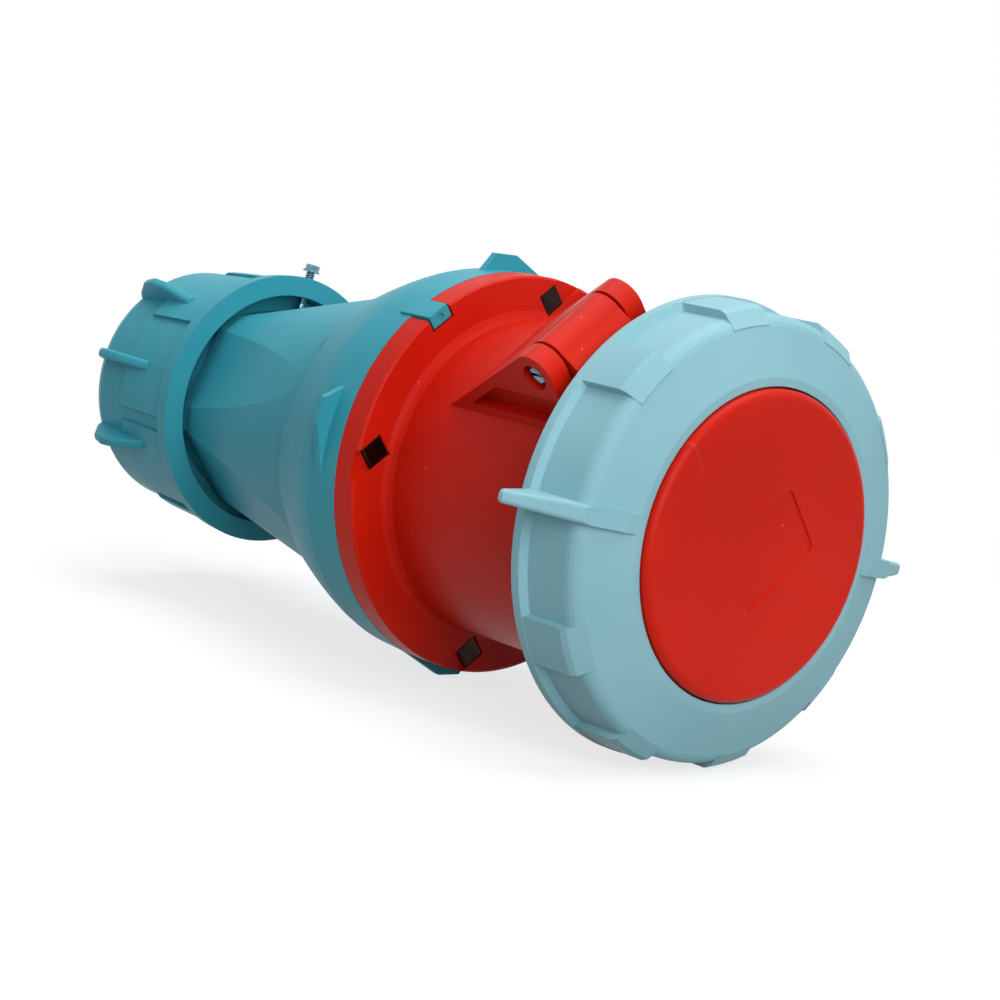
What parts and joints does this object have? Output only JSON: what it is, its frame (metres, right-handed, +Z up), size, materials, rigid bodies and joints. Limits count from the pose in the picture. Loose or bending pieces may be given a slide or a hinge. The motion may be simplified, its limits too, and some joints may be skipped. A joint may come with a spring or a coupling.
{
  "type": "industrial cable coupler",
  "caption": "Watertight industrial cable coupler with a hinged lid under a winged bayonet locking ring, flanged shells and a cable gland.",
  "frame": {"origin": "middle of the footprint, on the surface that it lies on", "axes": "+X along the coupler's axis towards the lid, +Z up, the hinge leaning 39 degrees towards -Y"},
  "size_m": [0.3302, 0.202, 0.1606],
  "materials": {
    "red_plastic": "fine satin moulding",
    "teal_plastic": "fine satin moulding",
    "ring_plastic": "fine satin moulding",
    "black_plastic": "dull moulding",
    "black_rubber": "matt rubber",
    "brass": "turned brass",
    "zinc_steel": "zinc plated",
    "dark_steel": "blackened"
  },
  "bodies": {
    "housing": {"front_shell": "red_plastic", "rear_shell": "teal_plastic", "body_seal": "black_rubber", "square_head_bolts": "dark_steel", "threaded_inserts": "brass", "contact_carrier": "black_plastic", "carrier_screws": "zinc_steel", "retainer_plate": "black_plastic", "retainer_screws": "zinc_steel", "pilot_contact": "brass", "terminal_screws": "zinc_steel", "gland_nut": "teal_plastic", "gland_bush": "black_rubber", "gland_washer": "zinc_steel", "clamp_collet": "black_plastic", "lock_screw": "zinc_steel", "hinge_pin": "zinc_steel", "earth_contact": "brass", "phase_contact_1": "brass", "phase_contact_2": "brass", "phase_contact_3": "brass", "neutral_contact": "brass"},
    "lid": {"lid": "red_plastic", "lid_gasket": "black_rubber"},
    "ring": {"locking_ring": "ring_plastic"}
  },
  "joints": [
    {"name": "lid_hinge", "type": "hinge", "parent": "housing", "child": "lid", "pos_m": [0.1139, -0.04827, 0.13961], "axis": [0, -0.7771, -0.6293], "range_deg": [0, 120]},
    {"name": "ring_turn", "type": "hinge", "parent": "lid", "child": "ring", "pos_m": [0.1573, 0, 0.08], "axis": [-1, 0, 0], "range_deg": [0, 40]}
  ]
}
